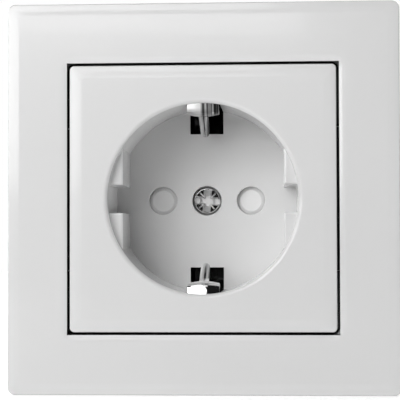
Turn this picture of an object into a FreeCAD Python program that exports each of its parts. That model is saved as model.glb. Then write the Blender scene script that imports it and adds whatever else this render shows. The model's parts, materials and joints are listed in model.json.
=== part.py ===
"""A flush-mounted type F wall socket with its cover frame, built as the real one comes apart on a bench.

The wall surface is the plane y = 0. The front of the socket faces -Y, +Z is up, and the origin is the
centre of the two screws that hold the steel support ring to the box in the wall. Millimetres throughout.

From the front: cover frame, centre plate with the plug well, earth contacts, central screw, shutter,
shutter retainer, support ring, base with contacts and push-in clamps, rear cover, and the two claws.
"""

import FreeCAD
import Part

import math
import os

V = FreeCAD.Vector
ORIGIN = V(0, 0, 0)
AXIS_X = V(1, 0, 0)
AXIS_Y = V(0, 1, 0)
AXIS_Z = V(0, 0, 1)
OUT = "parts"

# OVER is how far a cutting shape runs past what it cuts, BITE how far joined shapes run into each other,
# and NEAR how close an edge has to be to a level to be counted as lying on it
OVER = 1.0
BITE = 0.3
NEAR = 0.001

# A crowned border follows a parabola in CROWN_STEPS steps, up to the share CROWN_END of its way to level.
# A bend in arched sheet is drawn through BEND_STEPS sections.
CROWN_STEPS = 4
CROWN_END = 0.85
BEND_STEPS = 5

# Cover frame
FRAME_SIZE = 80.7
FRAME_DEPTH = 9.5
FRAME_CORNER_R = 1.5
FRAME_WALL = 2.0
FRAME_EDGE_R = 0.45
FRAME_BORDER_WIDTH = 2.4
FRAME_BORDER_DROP = 0.25
FRAME_LIP_WIDTH = 1.4
FRAME_LIP_DROP = 0.3
FRAME_SKIRT = 1.6
FRAME_LEDGE_REACH = 1.9
FRAME_LEDGE = 1.1
FRAME_RIB = 1.2
FRAME_RIB_OFFSET = 20.0
FRAME_LEDGE_CLEAR_HALF = 15.0

# Centre plate
PLATE_SIZE = 54.9
PLATE_PROUD = 0.4
PLATE_SKIN = 2.0
PLATE_SKIRT = 1.8
PLATE_SKIRT_DEPTH = 5.3
PLATE_CORNER_R = 1.0
PLATE_EDGE_R = 0.45
PLATE_BORDER_WIDTH = 2.6
PLATE_BORDER_DROP = 0.28
PLATE_RIB = 1.1
SHADOW_GAP = 0.5
SEAT_GAP = 0.1

# Plug well, on the dimensions that type F plugs need
WELL_R = 19.65
WELL_DRAFT = 0.17
WELL_DEPTH = 17.5
WELL_WALL = 1.5
WELL_RIM_R = 0.9
WELL_FLOOR = 1.1
LUG_REACH = 3.02
LUG_START = 2.3
LUG_NOTCH = 5.8
LUG_EDGE_R = 0.5
PIN_PITCH = 19.0
PIN_HOLE_R = 3.0
PIN_HOLE_EDGE = 0.15
PIN_LENGTH = 19.0
WINDOW_WIDTH = 7.2
WINDOW_START = 1.5
WINDOW_REACH = 5.25

# Central screw and the boss that it clamps
SCREW_HEAD_R = 2.8
SCREW_HEAD_H = 2.0
SCREW_SHANK_R = 1.45
SCREW_SINK = 0.9
SCREW_EDGE_R = 0.25
SCREW_SLOT = 1.2
SCREW_SLOT_DEPTH = 0.9
SCREW_CROSS_WIDTH = 1.75
SCREW_CROSS_SPAN = 4.8
SCREW_CROSS_DEPTH = 1.6
SCREW_CROSS_NARROW = 0.9
SCREW_CROSS_SHORT = 2.2
SCREW_TICK_WIDTH = 0.3
SCREW_TICK_SPAN = 4.8
SCREW_TICK_DEPTH = 0.4
SCREW_TURN = 4.0
SCREW_SPARE = 1.6
SINK_R = 3.2
BOSS_WALL = 0.7
BOSS_LENGTH = 4.2
HOLE_CLEAR = 0.25
THREAD_CLEAR = 0.05

# Shutter: it moves down and slightly inwards on two ramps when both pins press it
SHUTTER_CLEAR = 0.1
SHUTTER_THICK = 2.8
SHUTTER_OVERLAP = 0.4
SHUTTER_TRAVEL = 6.3
SHUTTER_SLOPE = 15.0
SHUTTER_ARM = 2.2
SHUTTER_BRIDGE = 1.8
SHUTTER_WING = 4.8
SHUTTER_FOOT = 1.4
SHUTTER_CORNER_R = 0.8
SHUTTER_RAMP_SPARE = 1.2
DISH_R = 5.2
DISH_DEPTH = 0.5
SPRING_R = 1.1
SPRING_WIRE_R = 0.17
SPRING_TURNS = 6.0
RETAINER_WALL = 1.2
RETAINER_PLATE = 1.2
RETAINER_MARGIN = 1.0
RETAINER_END_CLEAR = 0.5
RETAINER_CORNER_R = 5.0
STAKE_R = 1.0
STAKE_HEAD_R = 1.6
STAKE_HEAD = 0.8
STAKE_INSET = 3.1
STAKE_LOW = 9.5

# Support ring of stamped steel
RING_MARGIN = 2.85
RING_T = 1.0
RING_CORNER_R = 7.0
RING_HOLE_R = 1.6
RING_HOLE_INSET = 6.0
BOX_SCREW_PITCH = 60.0
BOX_SCREW_R = 1.9
SLOT_SWEEP = 9.0
KEYHOLE_R = 3.5
TAB_WIDTH = 6.0
TAB_LENGTH = 7.5
TAB_ANGLE = 45.0
TAB_WINDOW = 2.0
TAB_GAP = 0.15
TAB_ROOT = 1.0
TAB_CLEAR = 0.4
NUB = 0.9
NUB_Y = 3.9
NUB_FLAT = 0.4
NUB_CLEAR = 0.2

# Base
COLLAR_CLEAR = 1.75
COLLAR_WALL = 1.5
COLLAR_EDGE = 0.7
BASE_CORNER_R = 4.0
BASE_WALL = 1.5
BASE_FRONT_WALL = 2.4
BASE_SEAT = 0.2
CHAMBER_SPARE = 0.9
COVER_T = 1.7
COVER_EDGE = 0.4
COVER_SINK = 0.7
COVER_RIB = 0.8
COVER_RIB_T = 0.9
COVER_RIB_LOW = 5.0
COVER_RIB_STEP = 3.5
COVER_RIB_INSET = 4.0
COVER_SCREW_SIDE = 6.6
COVER_SCREW_END = 4.8
COVER_SCREW_R = 1.15
COVER_SCREW_HEAD_R = 2.2
COVER_SCREW_HEAD = 1.4
COVER_SCREW_LENGTH = 8.0
COVER_SCREW_SPARE = 1.0
COVER_CROSS_HALF = 1.2
COVER_CROSS_WIDTH = 0.6
COVER_CROSS_DEPTH = 0.8

# Contacts and the earth strap
BRASS_T = 0.8
TULIP_WIDTH = 5.0
TULIP_GRIP = 2.25
TULIP_MOUTH = 3.0
TULIP_GAP = 0.6
TULIP_START = 0.3
TULIP_NECK = 2.8
TULIP_FLARE = 2.6
TULIP_NECK_R = 1.6
TULIP_FLARE_R = 1.2
TULIP_ROOM = 0.8
BRASS_BEND_R = 0.7
CLIP_T = 0.4
CLIP_WIDTH = 1.6
CLIP_GAP = 0.3
CLIP_BEND_R = 0.6
CLIP_ROOM = 0.4
BUS_SIDE = 14.4
BUS_TOP = 12.4
BUS_HALF = 8.6
BUS_START = 0.4
BUS_END = 1.2
BUS_LAP = 2.5
BUS_ROOM = 0.3
ELBOW_TRIM = 1.0
STRAP_WIDTH = 8.0
STRAP_ARM_WIDTH = 6.6
STRAP_CLEAR = 0.25
STRAP_BEND_R = 1.0
STRAP_COLLAR = 1.0
FINGER_SINK = 0.15
FINGER_ARM_END = 2.0
FINGER_FOLD_R = 0.75
FINGER_HEAD_IN = 1.55
FINGER_HEAD_DROP = 0.5
FINGER_HEAD_ARCH = 0.45
FINGER_SHOULDER_IN = 1.75
FINGER_SHOULDER_DROP = 2.1
FINGER_ROOT_HALF = 1.43
FINGER_TIP_HALF = 0.5
FINGER_ARCH = 0.35
FINGER_BEND_R = 2.5
FINGER_REACH = 6.45
FINGER_CONTACT = 5.4
FINGER_END = 1.4
FINGER_BACK = 1.0
RIVET_R = 1.2
RIVET_HEAD_R = 2.0
RIVET_HEAD = 0.7
RIVET_Z = 8.6
RIVET_ROOM = 0.8
TERMINAL_FOOT = 2.8

# Push-in clamps
TERMINAL_DEPTH = 7.1
WIRE_SQUARE = 3.0
WIRE_INSET = 2.4
FUNNEL_FLARE = 0.5
FUNNEL_DEPTH = 0.8
CLAMP_T = 0.35
CLAMP_INNER = 2.6
CLAMP_INSET = 0.7
CLAMP_ROOT = 4.3
CLAMP_TIP = 0.45
CLAMP_TIP_DEPTH = 3.6
CLAMP_START = 1.2
CLAMP_END = 0.6
CLAMP_SLACK = 0.1
CLAMP_BEND_R = 0.9
LEVER_FROM = 1.8
LEVER_T = 1.8
LEVER_HALF = 3.6
LEVER_FLANGE_HALF = 2.3
LEVER_FLANGE = 1.1
LEVER_FLANGE_IN = 0.9
LEVER_FLANGE_OUT = 1.6
LEVER_EDGE_R = 0.5
LEVER_TRAVEL = 1.6
LEVER_REST = 0.4
LEVER_TOUCH = 0.25
LEVER_CLEAR = 0.2

# Claws
CLAW_ANGLE = 28.5
CLAW_GAP = 0.35
CLAW_SCREW_R = 1.45
CLAW_BALL_R = 2.6
CLAW_BALL_Y = -3.0
CLAW_SWING = 12.0
CLAW_T = 1.2
CLAW_WIDTH = 6.0
CLAW_STOP = 5.0
CLAW_LEG = 8.5
CLAW_TOOTH = 1.3
CLAW_TEETH = 3
CLAW_BEND_R = 1.1
CLAW_HEAD = 0.5
CLAW_SLOT = 0.8
CLAW_SLOT_DEPTH = 0.4
CLAW_CROSS_WIDTH = 1.0
CLAW_CROSS_SPAN = 3.4
CLAW_CROSS_DEPTH = 0.7
CLAW_SPARE = 1.9
CLAW_TRAVEL = 8.0

# Levels along Y and radii that follow from the sizes above
frame_front = -FRAME_DEPTH
plate_front = frame_front - PLATE_PROUD
skirt_back = plate_front + PLATE_SKIRT_DEPTH
floor_front = plate_front + WELL_DEPTH
floor_back = floor_front + WELL_FLOOR
ring_front = -RING_T
well_outer = WELL_R + WELL_WALL
well_floor_r = WELL_R - WELL_DRAFT
lug_face = WELL_R - LUG_REACH
window_inner = WELL_R - WINDOW_REACH
pin_x = PIN_PITCH / 2
slope = math.tan(math.radians(SHUTTER_SLOPE))
pad_half = PIN_HOLE_R + SHUTTER_OVERLAP
foot_rise = 2 * pad_half * slope
shutter_inward = SHUTTER_TRAVEL * slope
shutter_front = floor_back + SHUTTER_CLEAR
shutter_back = shutter_front + SHUTTER_THICK
retainer_front = shutter_back + foot_rise + shutter_inward + SHUTTER_CLEAR
retainer_back = retainer_front + RETAINER_PLATE
boss_r = SINK_R + BOSS_WALL
boss_back = floor_back + BOSS_LENGTH
head_front = floor_front + SCREW_SINK
head_back = head_front + SCREW_HEAD_H
wing_x = boss_r + SHUTTER_ARM + SHUTTER_CLEAR + SHUTTER_WING
foot_x = max(wing_x, pin_x + pad_half)
shutter_half = foot_x + SHUTTER_FOOT
bridge_low = boss_r + SHUTTER_CLEAR + SHUTTER_TRAVEL
bridge_high = bridge_low + SHUTTER_BRIDGE
retainer_width = 2 * (shutter_half + RETAINER_MARGIN + RETAINER_WALL)
retainer_height = 2 * (bridge_high + RETAINER_END_CLEAR + RETAINER_WALL)
base_front = retainer_back + BASE_SEAT
strap_back = base_front + BRASS_T
chamber_front = base_front + BASE_FRONT_WALL
pin_tip = floor_front + PIN_LENGTH
web_front = pin_tip + TULIP_GAP
web_back = web_front + BRASS_T
cover_front = web_back + CHAMBER_SPARE
cover_back = cover_front + COVER_T
collar_inner = well_outer + COLLAR_CLEAR
collar_outer = collar_inner + COLLAR_WALL
arm_inner = well_outer + STRAP_CLEAR
arm_middle = arm_inner + BRASS_T / 2
opening = PLATE_SIZE + 2 * SHADOW_GAP
claw_r = collar_outer + CLAW_GAP + CLAW_SCREW_R
claw_y = CLAW_STOP + CLAW_TRAVEL + CLAW_LEG
claw_screw_end = claw_y + CLAW_T / 2 + CLAW_SPARE
clamp_back = cover_front - CLAMP_END
clamp_tip = chamber_front + CLAMP_TIP_DEPTH
clamp_outer = BUS_HALF - CLAMP_INSET
wire_z = BUS_HALF - WIRE_INSET
ring_size = FRAME_SIZE - 2 * (FRAME_WALL + RING_MARGIN)
ring_hole = ring_size / 2 - RING_HOLE_INSET
base_width = 2 * (BUS_SIDE + TERMINAL_DEPTH + BASE_WALL)
base_height = 2 * (BUS_TOP + TERMINAL_DEPTH + BASE_WALL)
cover_screw_x = base_width / 2 - COVER_SCREW_SIDE
cover_screw_z = base_height / 2 - COVER_SCREW_END
cover_seat = cover_back - COVER_SINK
rivet_pocket = RIVET_HEAD_R + RIVET_ROOM
mouth_y = chamber_front + TULIP_START
neck_y = mouth_y + TULIP_NECK
flare_y = neck_y + TULIP_FLARE


def box(x0, x1, y0, y1, z0, z1):
    """A box between two corners."""
    return Part.makeBox(x1 - x0, y1 - y0, z1 - z0, V(x0, y0, z0))


def cylinder(r, y0, y1, x=0.0, z=0.0):
    """A cylinder along Y from y0 to y1."""
    return Part.makeCylinder(r, y1 - y0, V(x, y0, z), AXIS_Y)


def cone(r0, r1, y0, y1, x=0.0, z=0.0):
    """A cone along Y, of radius r0 at y0 and r1 at y1."""
    return Part.makeCone(r0, r1, y1 - y0, V(x, y0, z), AXIS_Y)


def turned(shape, degrees):
    """A copy of shape turned about the Y axis, where -90 carries +X to +Z."""
    copy = shape.copy()
    copy.rotate(ORIGIN, AXIS_Y, degrees)
    return copy


def both_sides(shape):
    """shape and its copy turned half a turn about Y."""
    return [shape, turned(shape, 180)]


def mirrored_x(shape):
    """A copy of shape mirrored left to right."""
    return shape.mirror(ORIGIN, AXIS_X)


def rectangle_wire(width, height, r, y):
    """A rounded rectangle in the plane at y, with corner radius r."""
    a = width / 2
    b = height / 2
    k = r * (1 - math.sqrt(0.5))
    edges = []
    for sx, sz in ((1, 1), (-1, 1), (-1, -1), (1, -1)):
        first = V(sx * a, y, sz * (b - r))
        middle = V(sx * (a - k), y, sz * (b - k))
        last = V(sx * (a - r), y, sz * b)
        if sx * sz < 0:
            first, last = last, first
        edges.append((first, middle, last))
    parts = []
    for i, (first, middle, last) in enumerate(edges):
        parts.append(Part.Arc(first, middle, last).toShape())
        following = edges[(i + 1) % len(edges)][0]
        parts.append(Part.LineSegment(last, following).toShape())
    return Part.Wire(parts)


def rectangle_prism(width, height, r, y0, y1):
    """A rounded rectangle carried along Y from y0 to y1."""
    face = Part.Face(rectangle_wire(width, height, r, y0))
    return face.extrude(V(0, y1 - y0, 0))


def square_prism(size, r, y0, y1):
    return rectangle_prism(size, size, r, y0, y1)


def rectangle_taper(width0, height0, y0, width1, height1, y1):
    """A sharp-cornered rectangle that changes size from y0 to y1."""
    wires = []
    for width, height, y in ((width0, height0, y0), (width1, height1, y1)):
        corners = [V(-width / 2, y, -height / 2), V(width / 2, y, -height / 2), V(width / 2, y, height / 2),
                   V(-width / 2, y, height / 2)]
        wires.append(Part.makePolygon(corners + corners[:1]))
    return Part.makeLoft(wires, True, True)


def square_crown(size0, r0, y0, size1, r1, y1):
    """A rounded square that changes size from y0 to y1 along a curve, steep at y0 and almost level at y1."""
    whole = 1 - (1 - CROWN_END) ** 2
    wires = []
    for i in range(CROWN_STEPS + 1):
        share = i / CROWN_STEPS
        rise = (1 - (1 - CROWN_END * share) ** 2) / whole
        size = size0 + (size1 - size0) * share
        r = r0 + (r1 - r0) * share
        wires.append(rectangle_wire(size, size, r, y0 + (y1 - y0) * rise))
    return Part.makeLoft(wires, True, False)


def polygon_prism(points, along):
    """A polygon given as vectors, carried by the vector along."""
    return Part.Face(Part.makePolygon(points + points[:1])).extrude(along)


def outline_edges(points, radii):
    """Straight edges through the points, with an arc of the given radius at each inner point."""
    edges = []
    start = points[0]
    for i in range(1, len(points) - 1):
        corner = points[i]
        back = (points[i - 1] - corner).normalize()
        ahead = (points[i + 1] - corner).normalize()
        half = back.getAngle(ahead) / 2
        reach = radii[i] / math.tan(half)
        first = corner + back * reach
        last = corner + ahead * reach
        bisector = (back + ahead).normalize()
        centre = corner + bisector * (radii[i] / math.sin(half))
        middle = centre - bisector * radii[i]
        edges.append(Part.LineSegment(start, first).toShape())
        edges.append(Part.Arc(first, middle, last).toShape())
        start = last
    edges.append(Part.LineSegment(start, points[-1]).toShape())
    return edges


def bent_strip(path, thickness, bend_r, normal, width):
    """Sheet metal bent along a path of vectors in one plane, centred on that plane, of the given width.

    bend_r is the radius at the middle of the sheet, one for all bends or one for each point.
    """
    count = len(path)
    radii = bend_r if isinstance(bend_r, list) else [bend_r] * count
    sides = []
    for sign in (1, -1):
        points = []
        side_radii = []
        for i in range(count):
            ahead = (path[min(i + 1, count - 1)] - path[min(i, count - 2)]).normalize()
            back = (path[max(i, 1)] - path[max(i - 1, 0)]).normalize()
            n_ahead = normal.cross(ahead)
            n_back = normal.cross(back)
            miter = (n_ahead + n_back).normalize()
            offset = sign * thickness / 2
            points.append(path[i] + miter * (offset / miter.dot(n_ahead)))
            turn = normal.dot(back.cross(ahead))
            inwards = 1 if turn * sign > 0 else -1
            side_radii.append(radii[i] - inwards * thickness / 2)
        sides.append((points, side_radii))
    (left, left_r), (right, right_r) = sides
    edges = outline_edges(left, left_r)
    edges.append(Part.LineSegment(left[-1], right[-1]).toShape())
    edges += outline_edges(right, right_r)
    edges.append(Part.LineSegment(right[0], left[0]).toShape())
    face = Part.Face(Part.Wire(Part.__sortEdges__(edges)))
    face.translate(normal * (-width / 2))
    return face.extrude(normal * width)


def edges_at(shape, y, test):
    """Edges of shape that lie in the plane at y and pass the test on their middle point."""
    found = []
    for edge in shape.Edges:
        bounds = edge.BoundBox
        flat = abs(bounds.YMin - y) < NEAR and abs(bounds.YMax - y) < NEAR
        if flat and test(edge.CenterOfMass):
            found.append(edge)
    return found


def cover_frame():
    """Moulded frame: a shell open to the wall, with a skirt and a ledge that the centre plate presses on."""
    border = FRAME_SIZE - 2 * FRAME_BORDER_WIDTH
    border_back = frame_front + FRAME_BORDER_DROP
    body = square_prism(FRAME_SIZE, FRAME_CORNER_R, 0, border_back)
    body = body.makeFillet(FRAME_EDGE_R, edges_at(body, border_back, lambda p: True))
    flat = FRAME_SIZE - 2 * FRAME_EDGE_R
    crown = square_crown(flat, FRAME_CORNER_R - FRAME_EDGE_R, border_back,
                         border, FRAME_CORNER_R, frame_front)
    body = body.fuse(crown)
    through = square_prism(opening, PLATE_CORNER_R + SHADOW_GAP, OVER, frame_front - OVER)
    lip = square_crown(opening, PLATE_CORNER_R + SHADOW_GAP, frame_front + FRAME_LIP_DROP,
                       opening + 2 * FRAME_LIP_WIDTH, FRAME_CORNER_R + FRAME_LIP_WIDTH, frame_front)
    body = body.cut([through, lip])

    inner_back = frame_front + FRAME_WALL
    skirt_outer = opening + 2 * FRAME_SKIRT
    hollow = square_prism(FRAME_SIZE - 2 * FRAME_WALL, FRAME_CORNER_R, OVER, inner_back)
    skirt = square_prism(skirt_outer, FRAME_CORNER_R, 2 * OVER, inner_back - OVER)
    body = body.cut(hollow.cut(skirt))
    ledge_front = skirt_back + SEAT_GAP
    ledge_back = ledge_front + FRAME_LEDGE
    body = body.cut(square_prism(skirt_outer + OVER, FRAME_CORNER_R, OVER, ledge_back))
    ledge = square_prism(skirt_outer - FRAME_SKIRT, FRAME_CORNER_R, ledge_back, ledge_front)
    ledge = ledge.cut(square_prism(opening - 2 * FRAME_LEDGE_REACH, FRAME_CORNER_R,
                                   ledge_back + OVER, ledge_front - OVER))
    half = FRAME_LEDGE_CLEAR_HALF
    ledge = ledge.cut(box(-FRAME_SIZE, FRAME_SIZE, ledge_front - OVER, ledge_back + OVER, -half, half))

    ribs = []
    outer = FRAME_SIZE / 2 - FRAME_WALL + BITE
    inner = skirt_outer / 2 - BITE
    for offset in (-FRAME_RIB_OFFSET, FRAME_RIB_OFFSET):
        rib = box(inner, outer, inner_back - BITE, ring_front, offset - FRAME_RIB / 2, offset + FRAME_RIB / 2)
        ribs += [turned(rib, angle) for angle in (0, 90, 180, 270)]
    return body.fuse([ledge] + ribs).removeSplitter()


def keying_lugs():
    """The four lugs on the sides of the well that a plug's flats run between."""
    front = plate_front + LUG_START
    segment = cylinder(WELL_R + WELL_WALL / 2, front, floor_front + WELL_FLOOR / 2)
    keep = box(lug_face, well_outer, front - OVER, floor_back, -well_outer, well_outer)
    segment = segment.common(keep)
    notch = box(0, well_outer, front - OVER, floor_back, -LUG_NOTCH / 2, LUG_NOTCH / 2)
    segment = segment.cut(notch)
    ends = edges_at(segment, front, lambda p: p.x < lug_face + NEAR or abs(abs(p.z) - LUG_NOTCH / 2) < NEAR)
    segment = segment.makeFillet(LUG_EDGE_R, ends)
    return both_sides(segment)


def centre_plate():
    """Moulded plate with the plug well, its keying lugs, the screw boss and the stakes for the retainer."""
    border = PLATE_SIZE - 2 * PLATE_BORDER_WIDTH
    border_back = plate_front + PLATE_BORDER_DROP
    body = square_prism(PLATE_SIZE, PLATE_CORNER_R, skirt_back, border_back)
    body = body.makeFillet(PLATE_EDGE_R, edges_at(body, border_back, lambda p: True))
    crown = square_crown(PLATE_SIZE - 2 * PLATE_EDGE_R, PLATE_CORNER_R - PLATE_EDGE_R, border_back,
                         border, PLATE_CORNER_R, plate_front)
    body = body.fuse(crown)
    skin_back = plate_front + PLATE_SKIN
    body = body.cut(square_prism(PLATE_SIZE - 2 * PLATE_SKIRT, PLATE_CORNER_R, skirt_back + OVER, skin_back))

    ribs = []
    reach = PLATE_SIZE / 2 - PLATE_SKIRT / 2
    for angle in (0, 90, 180, 270):
        for side in (-1, 1):
            z = side * well_outer / 2
            start = math.sqrt(well_outer ** 2 - z ** 2) - WELL_WALL / 2
            rib = box(start, reach, skin_back - BITE, skirt_back, z - PLATE_RIB / 2, z + PLATE_RIB / 2)
            ribs.append(turned(rib, angle))
    tube = cylinder(well_outer, skin_back - BITE, floor_back)
    body = body.fuse([tube] + ribs)
    body = body.cut(cone(WELL_R, well_floor_r, plate_front, floor_front))
    rim = [e for e in edges_at(body, plate_front, lambda p: True)
           if e.Curve.TypeId == "Part::GeomCircle" and abs(e.Curve.Radius - WELL_R) < NEAR]
    body = body.makeFillet(min(WELL_RIM_R, (border / 2 - WELL_R) / 2), rim)
    body = body.fuse(keying_lugs())

    boss = cylinder(boss_r, floor_back - BITE, boss_back)
    stakes = [cylinder(STAKE_R, floor_back - BITE, retainer_back - STAKE_HEAD, x, z) for x, z in stake_places()]
    heads = [cylinder(STAKE_HEAD_R, retainer_back - STAKE_HEAD, retainer_back, x, z) for x, z in stake_places()]
    body = body.fuse([boss] + stakes + heads)

    cuts = [cylinder(SINK_R, floor_front - OVER, head_back),
            cylinder(SCREW_SHANK_R + HOLE_CLEAR, head_back - OVER, boss_back + OVER)]
    for x in (-pin_x, pin_x):
        cuts.append(cylinder(PIN_HOLE_R, floor_front - OVER, floor_back + OVER, x))
        cuts.append(cone(PIN_HOLE_R + PIN_HOLE_EDGE, PIN_HOLE_R, floor_front, floor_front + PIN_HOLE_EDGE, x))
    half = WINDOW_WIDTH / 2
    window = box(-half, half, plate_front + WINDOW_START, floor_back + OVER, window_inner, collar_inner)
    cuts += both_sides(window)
    return body.cut(cuts).removeSplitter()


def stake_places():
    """Where the plate's three stakes hold the retainer, clear of the slider."""
    x = retainer_width / 2 - STAKE_INSET - RETAINER_WALL
    z = retainer_height / 2 - STAKE_INSET
    return [(x, z), (-x, z), (0, -STAKE_LOW)]


def centre_screw():
    """Screw with a slot and a cross in one head, sunk in the boss and threaded into the earth strap."""
    head = cylinder(SCREW_HEAD_R, head_front, head_back)
    head = head.makeFillet(SCREW_EDGE_R, edges_at(head, head_front, lambda p: True))
    shank_end = strap_back + SCREW_SPARE
    shank = cylinder(SCREW_SHANK_R, head_back - BITE, shank_end)
    point = cone(SCREW_SHANK_R, SCREW_SHANK_R / 2, shank_end, shank_end + SCREW_SHANK_R / 2)
    front = head_front - OVER
    reach = SCREW_HEAD_R + OVER
    tick = box(-SCREW_TICK_SPAN / 2, SCREW_TICK_SPAN / 2, front, head_front + SCREW_TICK_DEPTH,
               -SCREW_TICK_WIDTH / 2, SCREW_TICK_WIDTH / 2)
    cuts = [box(-reach, reach, front, head_front + SCREW_SLOT_DEPTH, -SCREW_SLOT / 2, SCREW_SLOT / 2),
            turned(tick, 45), turned(tick, -45)]
    for angle in (0, 90):
        arm = rectangle_taper(SCREW_CROSS_SPAN, SCREW_CROSS_WIDTH, head_front,
                              SCREW_CROSS_SHORT, SCREW_CROSS_NARROW, head_front + SCREW_CROSS_DEPTH)
        cuts.append(turned(arm, angle))
    cuts = [turned(c, SCREW_TURN) for c in cuts]
    return head.fuse([shank, point]).cut(cuts).removeSplitter()


def shutter_slider():
    """One moulded slider: two dished pads over the pin holes, joined by arms and a bridge above the boss."""
    arm_in = boss_r + SHUTTER_CLEAR
    arm_out = arm_in + SHUTTER_ARM
    bridge = box(-arm_out, arm_out, shutter_front, shutter_back, bridge_low, bridge_high)
    pieces = [bridge]
    pads = []
    for side in (0, 180):
        arm = box(arm_in, arm_out, shutter_front, shutter_back, -pad_half, bridge_high)
        pad = box(arm_in, shutter_half, shutter_front, shutter_back, -pad_half, pad_half)
        foot = polygon_prism([V(foot_x, shutter_back - BITE, -pad_half),
                              V(foot_x, shutter_back + foot_rise, -pad_half),
                              V(foot_x, shutter_back, pad_half),
                              V(foot_x, shutter_back - BITE, pad_half)], V(SHUTTER_FOOT, 0, 0))
        for piece in (arm, pad, foot):
            pieces.append(mirrored_x(piece) if side else piece)
        centre = V(-pin_x if side else pin_x, shutter_front - DISH_R + DISH_DEPTH, 0)
        pads.append(Part.makeSphere(DISH_R, centre))
    body = pieces[0].fuse(pieces[1:]).cut(pads).removeSplitter()
    corners = [e for e in body.Edges if e.BoundBox.ZLength < NEAR and e.BoundBox.XLength < NEAR
               and abs(e.BoundBox.ZMax - bridge_high) < NEAR]
    return body.makeFillet(SHUTTER_CORNER_R, corners)


def slide_direction():
    """The way the shutter opens: down, and inwards along its ramps."""
    return V(0, slope, -1).normalize()


def shutter_spring(side):
    """Compression spring between an arm of the slider and the floor of the retainer."""
    x = side * (boss_r + SHUTTER_CLEAR + SHUTTER_ARM / 2)
    top = V(x, (shutter_front + shutter_back) / 2, -pad_half)
    floor_z = -(retainer_height / 2 - RETAINER_WALL)
    length = (top.z - floor_z) / math.cos(math.radians(SHUTTER_SLOPE))
    length -= 2 * SPRING_WIRE_R + 4 * SHUTTER_CLEAR
    helix = Part.makeHelix(length / SPRING_TURNS, length, SPRING_R)
    circle = Part.Circle(V(SPRING_R, 0, 0), V(0, 1, 0), SPRING_WIRE_R).toShape()
    spring = Part.Wire(helix).makePipeShell([Part.Wire([circle])], True, True)
    direction = slide_direction()
    spring.Placement = FreeCAD.Placement(top + direction * (SPRING_WIRE_R + 2 * SHUTTER_CLEAR),
                                         FreeCAD.Rotation(AXIS_Z, direction))
    return spring


def shutter_retainer():
    """Tray that closes the shutter chamber from behind, with the two ramps and the holes for the pins."""
    outer = rectangle_prism(retainer_width, retainer_height, RETAINER_CORNER_R, floor_back, retainer_back)
    inner = rectangle_prism(retainer_width - 2 * RETAINER_WALL, retainer_height - 2 * RETAINER_WALL,
                            RETAINER_CORNER_R - RETAINER_WALL, floor_back - OVER, retainer_front)
    body = outer.cut(inner)
    ramp_x = foot_x + SHUTTER_CLEAR
    ramp_low = pad_half - (retainer_front - shutter_back - SHUTTER_CLEAR) / slope
    ramp_high = pad_half + SHUTTER_RAMP_SPARE
    ramp = polygon_prism([V(ramp_x, retainer_front + BITE, ramp_low), V(ramp_x, retainer_front, ramp_low),
                          V(ramp_x, shutter_back + SHUTTER_CLEAR - SHUTTER_RAMP_SPARE * slope, ramp_high),
                          V(ramp_x, retainer_front + BITE, ramp_high)], V(SHUTTER_FOOT, 0, 0))
    additions = [ramp, mirrored_x(ramp)]
    for x, z in stake_places():
        additions.append(cylinder(STAKE_R + RETAINER_WALL, floor_back, retainer_front + BITE, x, z))
    body = body.fuse(additions)
    cuts = [cylinder(SCREW_SHANK_R + HOLE_CLEAR, retainer_front - OVER, retainer_back + OVER)]
    for x in (-pin_x, pin_x):
        cuts.append(cylinder(PIN_HOLE_R + HOLE_CLEAR, retainer_front - OVER, retainer_back + OVER, x))
    for x, z in stake_places():
        cuts.append(cylinder(STAKE_R + SEAT_GAP, floor_back - OVER, retainer_back + OVER, x, z))
        cuts.append(cylinder(STAKE_HEAD_R + SEAT_GAP, retainer_back - STAKE_HEAD, retainer_back + OVER, x, z))
    return body.cut(cuts).removeSplitter()


def arc_slot(r, half_width, middle, sweep, y0, y1):
    """A curved slot on the circle of radius r about Y, through middle degrees from +X towards +Z."""
    ring = cylinder(r + half_width, y0, y1).cut(cylinder(r - half_width, y0 - OVER, y1 + OVER))
    reach = 2 * r
    a0 = math.radians(middle - sweep)
    a1 = math.radians(middle + sweep)
    wedge = polygon_prism([V(0, y0, 0), V(reach * math.cos(a0), y0, reach * math.sin(a0)),
                           V(reach * math.cos(a1), y0, reach * math.sin(a1))], V(0, y1 - y0, 0))
    ends = [cylinder(half_width, y0, y1, r * math.cos(a), r * math.sin(a)) for a in (a0, a1)]
    return ring.common(wedge).fuse(ends)


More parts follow.
